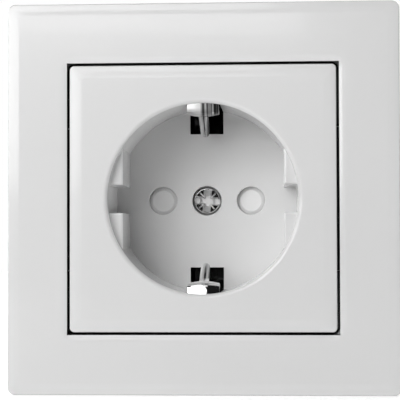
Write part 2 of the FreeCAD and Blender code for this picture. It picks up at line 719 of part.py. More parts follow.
def support_ring():
    """Stamped steel ring with slots for the box screws and four lugs bent back around the base."""
    plate = square_prism(ring_size, RING_CORNER_R, ring_front, 0)
    y0 = ring_front - OVER
    y1 = OVER
    cuts = [cylinder(collar_inner + COLLAR_WALL / 4, y0, y1)]
    box_r = BOX_SCREW_PITCH / 2
    for angle in (0, 180):
        cuts.append(arc_slot(box_r, BOX_SCREW_R, angle, SLOT_SWEEP, y0, y1))
        end = math.radians(angle + SLOT_SWEEP)
        cuts.append(cylinder(KEYHOLE_R, y0, y1, box_r * math.cos(end), box_r * math.sin(end)))
    for z in (-box_r, box_r):
        cuts.append(cylinder(BOX_SCREW_R, y0, y1, 0, z))
    for sx in (-1, 1):
        for sz in (-1, 1):
            cuts.append(cylinder(RING_HOLE_R, y0, y1, sx * ring_hole, sz * ring_hole))
    cuts += both_sides(claw_slot(y0, y1))
    tab_from = collar_outer + TAB_GAP
    lugs = []
    for quarter in range(4):
        angle = TAB_ANGLE + 90 * quarter
        half = TAB_WIDTH / 2 + TAB_CLEAR
        gap = box(tab_from, tab_from + TAB_LENGTH, y0, y1, -half, half)
        cuts.append(turned(gap, angle))
        path = [V(tab_from - TAB_ROOT, ring_front / 2, 0), V(tab_from + RING_T / 2, ring_front / 2, 0),
                V(tab_from + RING_T / 2, TAB_LENGTH, 0)]
        lug = bent_strip(path, RING_T, RING_T, AXIS_Z, TAB_WIDTH)
        half = TAB_WIDTH / 4 + NUB_CLEAR
        hole = box(tab_from - OVER, tab_from + RING_T + OVER, NUB_Y - NUB_CLEAR, NUB_Y + TAB_WINDOW + NUB_CLEAR,
                   -half, half)
        lugs.append(turned(lug.cut(hole), angle))
    return plate.cut(cuts).fuse(lugs).removeSplitter()


def claw_slot(y0, y1):
    """The slot in which one claw screw tilts."""
    r = CLAW_SCREW_R + HOLE_CLEAR
    lean = -CLAW_BALL_Y * math.sin(math.radians(CLAW_SWING)) + HOLE_CLEAR
    inner = cylinder(r, y0, y1, claw_r)
    outer = cylinder(r, y0, y1, claw_r + lean)
    middle = box(claw_r, claw_r + lean, y0, y1, -r, r)
    return turned(inner.fuse([outer, middle]), -CLAW_ANGLE)


def claw_recess():
    """The flat that each claw lies against, cut in the base and in its cover."""
    half = CLAW_WIDTH / 2 + CLAW_GAP
    inner = claw_r - CLAW_SCREW_R - CLAW_GAP - SEAT_GAP
    back = cover_back + 2 * OVER
    return turned(box(inner, FRAME_SIZE / 2, base_front - OVER, back, -half, half), -CLAW_ANGLE)


def terminal_cavity(bus):
    """Chamber for two push-in clamps beside a bus plate whose outer face is at x = bus."""
    half = BUS_HALF + BUS_ROOM
    inner = bus - BRASS_T - BUS_ROOM
    return box(inner, bus + TERMINAL_DEPTH, chamber_front, cover_front + OVER, -half, half)


def socket_base():
    """Moulded base: a collar round the well, a front wall with the pin holes, and the contact chambers."""
    collar = cylinder(collar_outer, 0, base_front + BITE)
    collar = collar.makeChamfer(COLLAR_EDGE, edges_at(collar, 0, lambda p: True))
    block = rectangle_prism(base_width, base_height, BASE_CORNER_R, base_front, cover_front)
    body = collar.fuse(block).cut(cylinder(collar_inner, -OVER, base_front))

    nubs = []
    for quarter in range(4):
        half = TAB_WIDTH / 4
        nub = polygon_prism([V(collar_outer - 2 * BITE, NUB_Y, -half), V(collar_outer + NUB, NUB_Y, -half),
                             V(collar_outer + NUB, NUB_Y + NUB_FLAT, -half),
                             V(collar_outer - 2 * BITE, NUB_Y + TAB_WINDOW, -half)], V(0, 0, 2 * half))
        nubs.append(turned(nub, TAB_ANGLE + 90 * quarter))
    body = body.fuse(nubs)

    half = STRAP_WIDTH / 2 + SEAT_GAP
    reach = arm_middle + BRASS_T
    front = base_front - OVER
    behind = chamber_front + OVER
    open_back = cover_front + OVER
    groove = box(-half, half, front, strap_back, -collar_inner, collar_inner)
    cuts = [groove.common(cylinder(collar_inner, front, strap_back)),
            box(-half, half, front, strap_back, -reach, reach),
            cylinder(SCREW_SHANK_R + 2 * HOLE_CLEAR + BRASS_T, front, behind)]
    for x in (-pin_x, pin_x):
        cuts.append(cylinder(PIN_HOLE_R + HOLE_CLEAR, front, behind, x))
    for z in (-RIVET_Z, RIVET_Z):
        cuts.append(cylinder(RIVET_R + SEAT_GAP, front, behind, 0, z))
    cuts.append(box(-rivet_pocket, rivet_pocket, chamber_front, open_back,
                    -RIVET_Z - rivet_pocket, -RIVET_Z + rivet_pocket))
    cuts += both_sides(claw_recess())

    half = TULIP_MOUTH + BRASS_T + TULIP_ROOM
    tulip = box(pin_x - TULIP_WIDTH / 2 - 2 * CLIP_T - CLIP_ROOM, BUS_SIDE, chamber_front, open_back, -half, half)
    cuts += both_sides(tulip) + both_sides(terminal_cavity(BUS_SIDE))
    cuts.append(turned(terminal_cavity(BUS_TOP), -90))
    half = STRAP_ARM_WIDTH / 2 + BUS_ROOM
    cuts.append(box(-half, half, chamber_front, open_back, RIVET_Z - TERMINAL_FOOT - BUS_ROOM, BUS_TOP))
    half = cover_screw_x - COVER_SCREW_HEAD_R - BASE_WALL
    cuts.append(box(-half, half, chamber_front + BASE_WALL, open_back,
                    BASE_WALL - base_height / 2, -RIVET_Z - rivet_pocket - BASE_WALL))
    for x, z in cover_screw_places():
        cuts.append(cylinder(COVER_SCREW_R + SEAT_GAP, cover_front - COVER_SCREW_LENGTH, open_back, x, z))
    return body.cut(cuts).removeSplitter()


def cover_screw_places():
    """Where the four screws of the rear cover stand."""
    return [(sx * cover_screw_x, sz * cover_screw_z) for sx in (-1, 1) for sz in (-1, 1)]


def clamp_openings(bus):
    """Wire funnels and the lever hole of one terminal in the rear cover, for a bus at x = bus."""
    cuts = []
    back = cover_back + OVER
    front = cover_back - FUNNEL_DEPTH
    flare = WIRE_SQUARE + 2 * FUNNEL_FLARE * (1 + OVER / FUNNEL_DEPTH)
    middle = bus + WIRE_SQUARE / 2
    for z in (-wire_z, wire_z):
        hole = rectangle_prism(WIRE_SQUARE, WIRE_SQUARE, WIRE_SQUARE / 8, cover_front - OVER, back)
        funnel = rectangle_taper(flare, flare, back, WIRE_SQUARE, WIRE_SQUARE, front)
        for cut in (hole, funnel):
            cut.translate(V(middle, 0, z))
            cuts.append(cut)
    near = bus + LEVER_FROM - LEVER_CLEAR
    half = LEVER_HALF + LEVER_CLEAR
    cuts.append(box(near, near + LEVER_T + 2 * LEVER_CLEAR, cover_front - OVER, back, -half, half))
    return cuts


def rear_cover():
    """Plate that closes the chambers from behind, with the wire funnels and the lever holes."""
    body = rectangle_prism(base_width, base_height, BASE_CORNER_R, cover_front, cover_back)
    body = body.makeChamfer(COVER_EDGE, edges_at(body, cover_back, lambda p: True))
    low = COVER_RIB_LOW - base_height / 2
    half = cover_screw_x - COVER_RIB_INSET
    ribs = [box(-half, half, cover_back - BITE, cover_back + COVER_RIB, z, z + COVER_RIB_T)
            for z in (low, low + COVER_RIB_STEP)]
    body = body.fuse(ribs)
    cuts = both_sides(claw_recess())
    for bus, angle in ((BUS_SIDE, 0), (BUS_SIDE, 180), (BUS_TOP, -90)):
        cuts += [turned(c, angle) for c in clamp_openings(bus)]
    for x, z in cover_screw_places():
        cuts.append(cylinder(COVER_SCREW_R + HOLE_CLEAR, cover_front - OVER, cover_back + OVER, x, z))
        cuts.append(cylinder(COVER_SCREW_HEAD_R + HOLE_CLEAR, cover_seat, cover_back + OVER, x, z))
    return body.cut(cuts).removeSplitter()


def cover_screws():
    """The four pan-head screws that hold the rear cover, as one group."""
    screws = []
    top = cover_seat + COVER_SCREW_HEAD
    floor = top - COVER_CROSS_DEPTH
    for x, z in cover_screw_places():
        head = cylinder(COVER_SCREW_HEAD_R, cover_seat, top, x, z)
        head = head.makeFillet(COVER_SCREW_HEAD / 2, edges_at(head, top, lambda p: True))
        start = cover_front - COVER_SCREW_LENGTH + COVER_SCREW_SPARE
        shank = cylinder(COVER_SCREW_R, start, cover_seat + BITE, x, z)
        half = COVER_CROSS_WIDTH / 2
        arms = [box(x - COVER_CROSS_HALF, x + COVER_CROSS_HALF, floor, top + OVER, z - half, z + half),
                box(x - half, x + half, floor, top + OVER, z - COVER_CROSS_HALF, z + COVER_CROSS_HALF)]
        screws.append(head.fuse(shank).cut(arms).removeSplitter())
    return Part.makeCompound(screws)


def line_contact():
    """Brass contact for the right-hand pin: two sprung leaves, a web behind them, and the bus plate."""
    grip = TULIP_GRIP + BRASS_T / 2
    mouth = TULIP_MOUTH + BRASS_T / 2
    web_y = web_front + BRASS_T / 2
    upper = [V(pin_x, mouth_y, mouth), V(pin_x, neck_y, grip), V(pin_x, flare_y, mouth), V(pin_x, web_y, mouth)]
    lower = [V(p.x, p.y, -p.z) for p in reversed(upper)]
    bends = [0, TULIP_NECK_R, TULIP_FLARE_R, BRASS_BEND_R]
    tulip = bent_strip(upper + lower, BRASS_T, bends + bends[::-1], AXIS_X, TULIP_WIDTH)
    inner = pin_x + TULIP_WIDTH / 2 - BITE
    middle = BUS_SIDE - BRASS_T / 2
    elbow = bent_strip([V(inner, web_y, 0), V(middle, web_y, 0), V(middle, web_y - BUS_LAP, 0)],
                       BRASS_T, BRASS_BEND_R, AXIS_Z, 2 * mouth - ELBOW_TRIM)
    plate = box(BUS_SIDE - BRASS_T, BUS_SIDE, chamber_front + BUS_START, web_y - BUS_END, -BUS_HALF, BUS_HALF)
    return tulip.fuse([elbow, plate]).removeSplitter()


def contact_clip():
    """Steel clip that presses the leaves of the right-hand contact together."""
    reach = TULIP_GRIP + BRASS_T + CLIP_T / 2 + CLIP_GAP
    inner = pin_x - TULIP_WIDTH / 2 - CLIP_T / 2 - CLIP_GAP
    outer = pin_x + TULIP_WIDTH / 2
    path = [V(outer, neck_y, reach), V(inner, neck_y, reach), V(inner, neck_y, -reach), V(outer, neck_y, -reach)]
    return bent_strip(path, CLIP_T, CLIP_BEND_R, AXIS_Y, CLIP_WIDTH)


def finger_fold():
    """The level of the middle of the sheet where the earth contact folds over the top of its window."""
    return plate_front + WINDOW_START + FINGER_SINK + FINGER_HEAD_ARCH + BRASS_T / 2


def path_stations(points, radii):
    """Places and directions along a rounded path: two on each straight run and BEND_STEPS round each bend."""
    stations = []
    edges = outline_edges(points, radii)
    for edge in edges:
        steps = BEND_STEPS if edge.Curve.TypeId == "Part::GeomCircle" else 2
        span = edge.LastParameter - edge.FirstParameter
        for i in range(steps):
            at = edge.FirstParameter + span * i / steps
            stations.append((edge.valueAt(at), edge.tangentAt(at)))
    last = edges[-1]
    stations.append((last.valueAt(last.LastParameter), last.tangentAt(last.LastParameter)))
    return stations


def arched_strip(stations, half_widths, arches):
    """Sheet metal along stations in the plane x = 0, whose section bulges at the middle of its front side."""
    sections = []
    for (place, along), half, arch in zip(stations, half_widths, arches):
        front = V(0, along.z, -along.y)
        side = V(half, 0, 0)
        edges = []
        for sign in (1, -1):
            level = place + front * (sign * BRASS_T / 2)
            right = level + side * sign
            edges.append(Part.Arc(level - side * sign, level + front * arch, right).toShape())
            edges.append(Part.LineSegment(right, right - front * (sign * BRASS_T)).toShape())
        sections.append(Part.Wire(edges))
    return Part.makeLoft(sections, True, True)


def finger():
    """The upper earth contact: a wide arched head folded into the window, and a tongue that narrows to its end."""
    fold_y = finger_fold()
    shoulder = V(0, fold_y + FINGER_SHOULDER_DROP, WELL_R - FINGER_SHOULDER_IN)
    contact_z = WELL_R - FINGER_REACH + FINGER_ARCH + BRASS_T / 2
    contact = V(0, floor_front - FINGER_CONTACT, contact_z)
    end = V(0, floor_front - FINGER_END, contact_z + FINGER_BACK)
    head_path = [V(0, fold_y + FINGER_ARM_END, arm_middle), V(0, fold_y, arm_middle),
                 V(0, fold_y + FINGER_HEAD_DROP, WELL_R - FINGER_HEAD_IN), shoulder]
    stations = path_stations(head_path, [0, FINGER_FOLD_R, FINGER_FOLD_R, 0])
    full = 2 + BEND_STEPS
    arches = [FINGER_HEAD_ARCH * max(NEAR, min(i / full, 1)) for i in range(len(stations))]
    head = arched_strip(stations, [STRAP_ARM_WIDTH / 2] * len(stations), arches)

    start = shoulder - V(0, BRASS_T, 0)
    stations = path_stations([start, shoulder, contact, end], [0, FINGER_BEND_R, FINGER_BEND_R, 0])
    count = len(stations) - 1
    halves = [FINGER_ROOT_HALF + (FINGER_TIP_HALF - FINGER_ROOT_HALF) * i / count for i in range(count + 1)]
    tongue = arched_strip(stations, halves, [FINGER_ARCH] * (count + 1))
    return head.fuse(tongue)


def earth_strap():
    """One stamped strap: a bar across the base, an arm up each side, and a sprung finger into each window."""
    bar_y = base_front + BRASS_T / 2
    path = [V(0, bar_y, 0), V(0, bar_y, arm_middle), V(0, finger_fold() + FINGER_ARM_END, arm_middle)]
    arm = bent_strip(path, BRASS_T, [0, STRAP_BEND_R, 0], AXIS_X, STRAP_ARM_WIDTH)
    half = arm.fuse(finger())
    reach = arm_inner - STRAP_BEND_R - BRASS_T
    bar = box(-STRAP_WIDTH / 2, STRAP_WIDTH / 2, base_front, strap_back, -reach, reach)
    collar = cylinder(SCREW_SHANK_R + THREAD_CLEAR + BRASS_T, base_front, strap_back + STRAP_COLLAR)
    body = bar.fuse([half, turned(half, 180), collar])
    back = strap_back + STRAP_COLLAR + OVER
    cuts = [cylinder(SCREW_SHANK_R + THREAD_CLEAR, base_front - OVER, back)]
    for z in (-RIVET_Z, RIVET_Z):
        cuts.append(cylinder(RIVET_R + THREAD_CLEAR, base_front - OVER, back, 0, z))
    return body.cut(cuts).removeSplitter()


def earth_terminal():
    """Brass angle behind the front wall: its foot is riveted to the strap, its plate takes the earth wires."""
    foot_back = chamber_front + BRASS_T
    half = STRAP_ARM_WIDTH / 2
    foot = box(-half, half, chamber_front, foot_back, RIVET_Z - TERMINAL_FOOT, BUS_TOP)
    plate = box(-BUS_HALF, BUS_HALF, chamber_front, web_back - BUS_END, BUS_TOP - BRASS_T, BUS_TOP)
    hole = cylinder(RIVET_R + THREAD_CLEAR, chamber_front - OVER, foot_back + OVER, 0, RIVET_Z)
    return foot.fuse(plate).cut(hole).removeSplitter()


def rivet(z, head_y):
    """Rivet at the height z that holds the strap to the base, closed behind at head_y."""
    shank = cylinder(RIVET_R, base_front, head_y + BITE, 0, z)
    head = cylinder(RIVET_HEAD_R, head_y, head_y + RIVET_HEAD, 0, z)
    head = head.makeFillet(RIVET_HEAD / 2, edges_at(head, head_y + RIVET_HEAD, lambda p: True))
    return shank.fuse(head).removeSplitter()


def clamp_spring(bus, side):
    """Leaf spring that jams a wire against the bus plate; side is which of the two wires it serves."""
    z = side * (CLAMP_INNER + clamp_outer) / 2
    outer = bus + TERMINAL_DEPTH - CLAMP_T / 2 - CLAMP_SLACK
    path = [V(outer, chamber_front + CLAMP_START, z), V(outer, clamp_back, z),
            V(bus + CLAMP_ROOT, clamp_back, z), V(bus + CLAMP_TIP, clamp_tip, z)]
    return bent_strip(path, CLAMP_T, [0, CLAMP_BEND_R, CLAMP_BEND_R, 0], AXIS_Z, clamp_outer - CLAMP_INNER)


def release_lever(bus):
    """Slide that is pressed from behind to push both clamp springs of a terminal off their wires."""
    near = bus + LEVER_FROM
    far = near + LEVER_T
    lean = (clamp_back - clamp_tip) / (CLAMP_ROOT - CLAMP_TIP)
    tip_y = clamp_tip + (LEVER_FROM - CLAMP_TIP) * lean + (CLAMP_T / 2 + LEVER_TOUCH) * math.hypot(1, lean)
    back = cover_back + LEVER_TRAVEL + LEVER_REST
    blade = polygon_prism([V(near, tip_y, -LEVER_HALF), V(far, tip_y + LEVER_T * lean, -LEVER_HALF),
                           V(far, back, -LEVER_HALF), V(near, back, -LEVER_HALF)], V(0, 0, 2 * LEVER_HALF))
    blade = blade.makeFillet(LEVER_EDGE_R, edges_at(blade, back, lambda p: True))
    flange_back = cover_front - SEAT_GAP
    flange = box(near - LEVER_FLANGE_IN, far + LEVER_FLANGE_OUT, flange_back - LEVER_FLANGE, flange_back,
                 -LEVER_FLANGE_HALF, LEVER_FLANGE_HALF)
    return blade.fuse(flange).removeSplitter()


def claw():
    """Claw lying along +X: a threaded plate on the screw, a leg towards the front, and a row of teeth."""
    y = claw_y
    leg_x = claw_r + CLAW_SCREW_R + CLAW_T / 2 + SEAT_GAP
    tip_y = y - CLAW_LEG
    path = [V(claw_r - CLAW_SCREW_R - SEAT_GAP, y, 0), V(leg_x, y, 0), V(leg_x, tip_y, 0)]
    body = bent_strip(path, CLAW_T, [0, CLAW_BEND_R, 0], AXIS_Z, CLAW_WIDTH)
    cuts = [cylinder(CLAW_SCREW_R + THREAD_CLEAR, y - CLAW_T, y + CLAW_T, claw_r)]
    step = CLAW_WIDTH / CLAW_TEETH
    for i in range(CLAW_TEETH - 1):
        valley = step * (i + 1) - CLAW_WIDTH / 2
        corners = [V(leg_x - CLAW_T, tip_y - OVER, valley - step), V(leg_x - CLAW_T, tip_y - OVER, valley + step),
                   V(leg_x - CLAW_T, tip_y + CLAW_TOOTH, valley)]
        cuts.append(polygon_prism(corners, V(2 * CLAW_T, 0, 0)))
    outer = leg_x + CLAW_T / 2
    bevel = [V(outer, tip_y + CLAW_TOOTH, -CLAW_WIDTH), V(leg_x, tip_y, -CLAW_WIDTH),
             V(leg_x, tip_y - OVER, -CLAW_WIDTH), V(outer + OVER, tip_y - OVER, -CLAW_WIDTH),
             V(outer + OVER, tip_y + CLAW_TOOTH, -CLAW_WIDTH)]
    cuts.append(polygon_prism(bevel, V(0, 0, 2 * CLAW_WIDTH)))
    return turned(body.cut(cuts).removeSplitter(), -CLAW_ANGLE)


def claw_screw():
    """Screw of a claw, with a ball under its head so that it can tilt in the ring."""
    reach = 2 * CLAW_BALL_R
    front = CLAW_BALL_Y - CLAW_HEAD
    ball = Part.makeSphere(CLAW_BALL_R, V(claw_r, CLAW_BALL_Y, 0))
    keep = box(claw_r - reach, claw_r + reach, front, 0, -reach, reach)
    shank = cylinder(CLAW_SCREW_R, CLAW_BALL_Y, claw_screw_end, claw_r)
    half = CLAW_SLOT / 2
    slot = box(claw_r - reach, claw_r + reach, front - OVER, front + CLAW_HEAD + CLAW_SLOT_DEPTH, -half, half)
    half = CLAW_CROSS_WIDTH / 2
    cross = box(claw_r - half, claw_r + half, front - OVER, front + CLAW_HEAD + CLAW_CROSS_DEPTH,
                -CLAW_CROSS_SPAN / 2, CLAW_CROSS_SPAN / 2)
    return turned(ball.common(keep).fuse(shank).cut([slot, cross]).removeSplitter(), -CLAW_ANGLE)


def build():
    """Every node of the object, by name."""
    right_contact = line_contact()
    right_clip = contact_clip()
    right_claw = claw()
    right_screw = claw_screw()
    nodes = {
        "cover_frame": cover_frame(),
        "centre_plate": centre_plate(),
        "centre_screw": centre_screw(),
        "shutter_slider": shutter_slider(),
        "shutter_spring_left": shutter_spring(-1),
        "shutter_spring_right": shutter_spring(1),
        "shutter_retainer": shutter_retainer(),
        "support_ring": support_ring(),
        "socket_base": socket_base(),
        "rear_cover": rear_cover(),
        "cover_screws": cover_screws(),
        "contact_right": right_contact,
        "contact_left": turned(right_contact, 180),
        "contact_clip_right": right_clip,
        "contact_clip_left": turned(right_clip, 180),
        "earth_strap": earth_strap(),
        "earth_terminal": earth_terminal(),
        "earth_rivet": rivet(RIVET_Z, chamber_front + BRASS_T),
        "strap_rivet": rivet(-RIVET_Z, chamber_front),
        "claw_right": right_claw,
        "claw_left": turned(right_claw, 180),
        "claw_screw_right": right_screw,
        "claw_screw_left": turned(right_screw, 180),
    }
    terminals = {"right": (BUS_SIDE, 0), "left": (BUS_SIDE, 180), "earth": (BUS_TOP, -90)}
    for name, (bus, angle) in terminals.items():
        nodes["release_lever_" + name] = turned(release_lever(bus), angle)
        nodes["clamp_spring_" + name + "_a"] = turned(clamp_spring(bus, 1), angle)
        nodes["clamp_spring_" + name + "_b"] = turned(clamp_spring(bus, -1), angle)
    return nodes


def main():
    os.makedirs(OUT, exist_ok=True)
    for name, shape in build().items():
        if not shape.isValid():
            print("not valid:", name)
        volume = sum(s.Volume for s in shape.Solids)
        print(f"{name}: {len(shape.Solids)} solid(s), {volume:.1f} mm3")
        shape.exportStep(os.path.join(OUT, name + ".step"))


main()
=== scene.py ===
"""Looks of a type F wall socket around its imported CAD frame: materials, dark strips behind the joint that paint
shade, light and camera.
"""

import json
import math

import bpy
from mathutils import Euler, Matrix, Vector


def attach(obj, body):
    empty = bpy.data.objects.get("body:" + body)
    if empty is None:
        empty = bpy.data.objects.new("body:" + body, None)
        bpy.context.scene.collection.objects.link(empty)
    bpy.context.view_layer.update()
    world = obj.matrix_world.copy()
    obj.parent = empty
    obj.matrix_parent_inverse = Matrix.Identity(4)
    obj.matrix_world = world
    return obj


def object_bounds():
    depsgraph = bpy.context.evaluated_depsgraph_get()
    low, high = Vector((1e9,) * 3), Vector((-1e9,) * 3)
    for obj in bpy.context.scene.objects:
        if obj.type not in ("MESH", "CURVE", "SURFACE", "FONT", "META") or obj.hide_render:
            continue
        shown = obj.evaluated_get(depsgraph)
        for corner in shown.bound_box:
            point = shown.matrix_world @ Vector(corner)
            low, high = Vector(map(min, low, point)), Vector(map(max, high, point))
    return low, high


MM = 0.001

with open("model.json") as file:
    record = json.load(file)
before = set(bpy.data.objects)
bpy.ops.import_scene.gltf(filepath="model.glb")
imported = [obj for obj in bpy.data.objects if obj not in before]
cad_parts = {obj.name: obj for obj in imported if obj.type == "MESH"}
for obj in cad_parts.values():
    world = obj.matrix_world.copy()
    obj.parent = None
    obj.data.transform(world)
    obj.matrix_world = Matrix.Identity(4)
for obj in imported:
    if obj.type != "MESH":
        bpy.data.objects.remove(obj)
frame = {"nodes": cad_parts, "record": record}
nodes = frame["nodes"]
record = frame["record"]
cad_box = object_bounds()
collection = bpy.context.scene.collection


# Node helpers

class Shader:
    """A node material that is built up from small helpers, around one Principled shader."""

    def __init__(self, name, roughness, metallic=0.0, coat=0.0):
        self.material = bpy.data.materials.new(name)
        self.material.use_nodes = True
        self.tree = self.material.node_tree
        self.nodes = self.tree.nodes
        self.surface = self.nodes["Principled BSDF"]
        self.surface.inputs["Metallic"].default_value = metallic
        self.surface.inputs["Roughness"].default_value = roughness
        self.surface.inputs["Coat Weight"].default_value = coat
        self.place = self.nodes.new("ShaderNodeTexCoord").outputs["Object"]

    def link(self, source, target):
        self.tree.links.new(source, target)

    def place_axes(self):
        """Object coordinates as three values X, Y and Z."""
        node = self.nodes.new("ShaderNodeSeparateXYZ")
        self.link(self.place, node.inputs["Vector"])
        return node.outputs

    def stretched(self, x, y, z):
        """Object coordinates, stretched so that a pattern runs along one direction."""
        node = self.nodes.new("ShaderNodeMapping")
        node.inputs["Scale"].default_value = (x, y, z)
        self.link(self.place, node.inputs["Vector"])
        return node.outputs["Vector"]

    def noise(self, scale, detail=3.0, roughness=0.5, place=None):
        node = self.nodes.new("ShaderNodeTexNoise")
        node.inputs["Scale"].default_value = scale
        node.inputs["Detail"].default_value = detail
        node.inputs["Roughness"].default_value = roughness
        self.link(place or self.place, node.inputs["Vector"])
        return node.outputs["Fac"]

    def span(self, value, low, high, start=0.35, end=0.65):
        """value carried from the range start to end into the range low to high."""
        node = self.nodes.new("ShaderNodeMapRange")
        node.inputs["From Min"].default_value = start
        node.inputs["From Max"].default_value = end
        node.inputs["To Min"].default_value = low
        node.inputs["To Max"].default_value = high
        self.link(value, node.inputs["Value"])
        return node.outputs["Result"]

    def mix(self, share, first, second):
        """The first colour where share is 0, the second where it is 1."""
        node = self.nodes.new("ShaderNodeMix")
        node.data_type = "RGBA"
        self.link(share, node.inputs["Factor"])
        for value, socket in ((first, node.inputs[6]), (second, node.inputs[7])):
            if isinstance(value, tuple):
                socket.default_value = (*value, 1.0)
            else:
                self.link(value, socket)
        return node.outputs[2]

    def math(self, kind, first, second=None):
        node = self.nodes.new("ShaderNodeMath")
        node.operation = kind
        for value, socket in ((first, node.inputs[0]), (second, node.inputs[1])):
            if isinstance(value, float):
                socket.default_value = value
            elif value is not None:
                self.link(value, socket)
        return node.outputs[0]

    def bump(self, height, distance):
        node = self.nodes.new("ShaderNodeBump")
        node.inputs["Strength"].default_value = 1.0
        node.inputs["Distance"].default_value = distance
        self.link(height, node.inputs["Height"])
        self.link(node.outputs["Normal"], self.surface.inputs["Normal"])

    def colour(self, value):
        self.link(value, self.surface.inputs["Base Color"])

    def rough(self, value):
        self.link(value, self.surface.inputs["Roughness"])


def square_reach(shader):
    """Distance from the middle axis, measured as on a square: the larger of the two offsets in the wall plane."""
    axes = shader.place_axes()
    across = shader.math("ABSOLUTE", axes["X"])
    upward = shader.math("ABSOLUTE", axes["Z"])
    return shader.math("MAXIMUM", across, upward)


def crown(shader, centre, rise, reach):
    """Height of two round faces at centre to either side, which fall by rise from the middle out to reach."""
    axes = shader.place_axes()
    across = shader.math("SUBTRACT", shader.math("ABSOLUTE", axes["X"]), centre)
    upward = axes["Z"]
    square = shader.math("ADD", shader.math("MULTIPLY", across, across), shader.math("MULTIPLY", upward, upward))
    return shader.math("MULTIPLY", square, -rise / reach ** 2)


JOINT_SHADE_BLACK = (0.0, 0.0, 0.0)
FLOW_SCALE = 35.0


def plastic(name, colour, roughness, spread, grain, depth, coat=0.0, black=None, crowned=None):
    """Moulded plastic: a faint flow mottling in the colour, and a fine skin in the gloss and the relief.

    black is a pair of distances: from the first to the second the colour goes fully dark, as painted shade on the
    walls of a joint.
    crowned gives the centre, rise and reach of two faces that stand a little higher in the middle.
    """
    shader = Shader(name, roughness, coat=coat)
    flow = shader.span(shader.noise(FLOW_SCALE, 4.0, 0.55), 0.0, 1.0)
    dark = tuple(c * (1 - spread) for c in colour)
    light = tuple(min(c * (1 + spread), 1.0) for c in colour)
    finish = shader.mix(flow, dark, light)
    # Painted shade: the walls of the joint go dark, for the shade between frame and plate
    if black:
        finish = shader.mix(shader.span(square_reach(shader), 0.0, 1.0, *black), finish, JOINT_SHADE_BLACK)
    shader.colour(finish)
    skin = shader.noise(grain, 3.0, 0.6)
    shader.rough(shader.span(skin, roughness * 0.85, roughness * 1.2))
    if crowned:
        shader.bump(shader.math("ADD", shader.math("MULTIPLY", skin, depth), crown(shader, *crowned)), 1.0)
    else:
        shader.bump(skin, depth)
    return shader.material


# Painted reflection on the earth contacts: their right side is coloured as if it mirrored a dark room, dark with
# grey streaks, except on the lower head
REFLECTION_SIDE_START = -0.6 * MM
REFLECTION_SIDE_END = 0.0
LOWER_HEAD_TOP = -16.8 * MM
LOWER_HEAD_FADE = 0.4 * MM
PAINTED_REFLECTION_SCALE = 1500.0
PAINTED_REFLECTION_DARK = (0.03, 0.03, 0.03)
PAINTED_REFLECTION_LIGHT = (0.55, 0.55, 0.55)
# Painted shade on the earth strap: from a given depth its colour fades to dark grey, for the shade deep in the well
PAINTED_SHADE_GREY = (0.05, 0.05, 0.05)
PAINTED_SHADE_FADE = 1.5 * MM
MATT_FADE = 0.1 * MM
MATT_ROUGHNESS = 0.45
CLOUD_SCALE = 160.0
SCRATCH_SCALE = 900.0


def metal(name, colour, roughness, spread, run, depth, painted_shade_from=None, matt_from=None):
    """Sheet or wire metal: fine lines along the way it was rolled or pulled through a die, and cloudy plating.

    painted_shade_from is the depth, in metres behind the wall plane, from which the colour goes to a dark grey as
    painted shade deep in the well; when it is given, the right side also gets a painted reflection.
    matt_from is the depth from which it is matt, for a recess that was pressed into a smooth head.
    """
    shader = Shader(name, roughness, metallic=1.0)
    cloud = shader.span(shader.noise(CLOUD_SCALE, 4.0, 0.6), 0.0, 1.0)
    dark = tuple(c * (1 - spread) for c in colour)
    finish = shader.mix(cloud, dark, colour)
    if painted_shade_from is not None:
        axes = shader.place_axes()
        # Painted reflection: the right side of the earth contacts is coloured dark with grey streaks, as a mirrored
        # dark room, except on the lower head
        right = shader.span(axes["X"], 0.0, 1.0, REFLECTION_SIDE_START, REFLECTION_SIDE_END)
        above = shader.span(axes["Z"], 0.0, 1.0, LOWER_HEAD_TOP, LOWER_HEAD_TOP + LOWER_HEAD_FADE)
        side = shader.math("MULTIPLY", right, above)
        streaks = shader.noise(PAINTED_REFLECTION_SCALE, 1.0, 0.5, shader.stretched(1.0, 0.03, 0.03))
        painted_reflection = shader.mix(shader.span(streaks, 0.0, 1.0, 0.42, 0.56), PAINTED_REFLECTION_DARK, PAINTED_REFLECTION_LIGHT)
        finish = shader.mix(side, finish, painted_reflection)
        # Painted shade: the colour goes dark grey deeper in the well
        painted_shade = shader.span(axes["Y"], 0.0, 1.0, painted_shade_from, painted_shade_from + PAINTED_SHADE_FADE)
        finish = shader.mix(painted_shade, finish, PAINTED_SHADE_GREY)
    shader.colour(finish)
    lines = shader.noise(SCRATCH_SCALE, 4.0, 0.7, shader.stretched(*run))
    gloss = shader.span(lines, roughness * 0.7, roughness * 1.35)
    if matt_from is not None:
        axes = shader.place_axes()
        matt = shader.span(axes["Y"], 0.0, MATT_ROUGHNESS, matt_from, matt_from + MATT_FADE)
        gloss = shader.math("ADD", gloss, matt)
    shader.rough(gloss)
    shader.bump(lines, depth)
    return shader.material


# Places in the finishes: where the painted shade on the joint's walls begins, the shutter's faces, and how deep the
# painted shade on the strap and the matt screw head begin
FRAME_JOINT_SHADE = (28.04 * MM, 27.98 * MM)
PLATE_JOINT_SHADE = (27.38 * MM, 27.43 * MM)
SHUTTER_CROWN = (9.5 * MM, 0.8 * MM, 2.9 * MM)
STRAP_PAINTED_SHADE_FROM = 9.2 * MM
HEAD_MATT_FROM = 8.56 * MM

